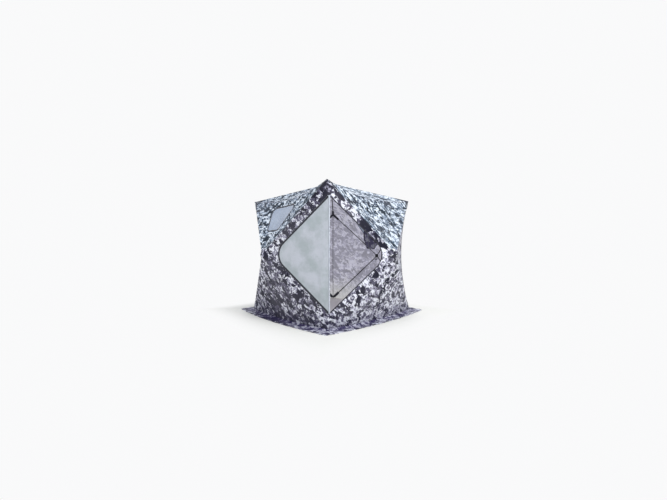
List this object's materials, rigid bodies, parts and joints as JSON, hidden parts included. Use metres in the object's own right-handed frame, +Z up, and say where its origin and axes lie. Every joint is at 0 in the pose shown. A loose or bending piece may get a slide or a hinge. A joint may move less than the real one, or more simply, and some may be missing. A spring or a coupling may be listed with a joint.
{
  "type": "ice fishing hut",
  "caption": "Square pop-up ice fishing hut in snow camouflage cloth, with a sprung hub in each wall, a snow skirt, and a corner door flap that turns back.",
  "frame": {"origin": "middle of the base on the ground", "axes": "+Z up, the front wall faces -Y, the right wall with the doorway faces +X, the door corner is at +X and -Y"},
  "size_m": [2.548, 2.548, 2.109],
  "materials": {
    "camouflage_cloth": "coated polyester printed with a snow camouflage",
    "skirt_cloth": "coated polyester, darker",
    "door_cloth": "pale grey coated lining, camouflage outside",
    "clear_film": "clear flexible film",
    "zip_tape": "black woven tape with zip teeth",
    "welt_cloth": "pale piping",
    "black_webbing": "black webbing",
    "black_plastic": "moulded black plastic",
    "fibreglass_rod": "dark fibreglass"
  },
  "bodies": {
    "hut": {"front_wall_top": "camouflage_cloth", "front_wall_bottom": "camouflage_cloth", "front_wall_left": "camouflage_cloth", "front_wall_right": "camouflage_cloth", "right_wall_top": "camouflage_cloth", "right_wall_bottom": "camouflage_cloth", "right_wall_left": "camouflage_cloth", "right_wall_right": "camouflage_cloth", "back_wall_top": "camouflage_cloth", "back_wall_bottom": "camouflage_cloth", "back_wall_left": "camouflage_cloth", "back_wall_right": "camouflage_cloth", "left_wall_top": "camouflage_cloth", "left_wall_bottom": "camouflage_cloth", "left_wall_left": "camouflage_cloth", "left_wall_right": "camouflage_cloth", "roof_slope_front": "camouflage_cloth", "roof_slope_right": "camouflage_cloth", "roof_slope_back": "camouflage_cloth", "roof_slope_left": "camouflage_cloth", "front_snow_skirt": "skirt_cloth", "right_snow_skirt": "skirt_cloth", "back_snow_skirt": "skirt_cloth", "left_snow_skirt": "skirt_cloth", "front_rods": "fibreglass_rod", "right_rods": "fibreglass_rod", "back_rods": "fibreglass_rod", "left_rods": "fibreglass_rod", "roof_rods": "fibreglass_rod", "front_hub": "black_plastic", "right_hub": "black_plastic", "back_hub": "black_plastic", "left_hub": "black_plastic", "roof_hub": "black_plastic", "top_corner_fittings": "black_plastic", "bottom_corner_fittings": "black_plastic", "windows": "clear_film", "right_window_cover": "camouflage_cloth", "hub_pull_loops": "black_webbing", "doorway_zip_tape": "zip_tape", "door_corner_welt": "welt_cloth", "rolled_storm_flap": "camouflage_cloth"},
    "door": {"door_flap": "door_cloth", "door_flap_zip_tape": "zip_tape"}
  },
  "joints": [
    {"name": "door_turn", "type": "hinge", "parent": "hut", "child": "door", "pos_m": [0.92261, -0.88742, 0.8775], "axis": [0, 0, 1], "range_deg": [0, 226.94]}
  ]
}
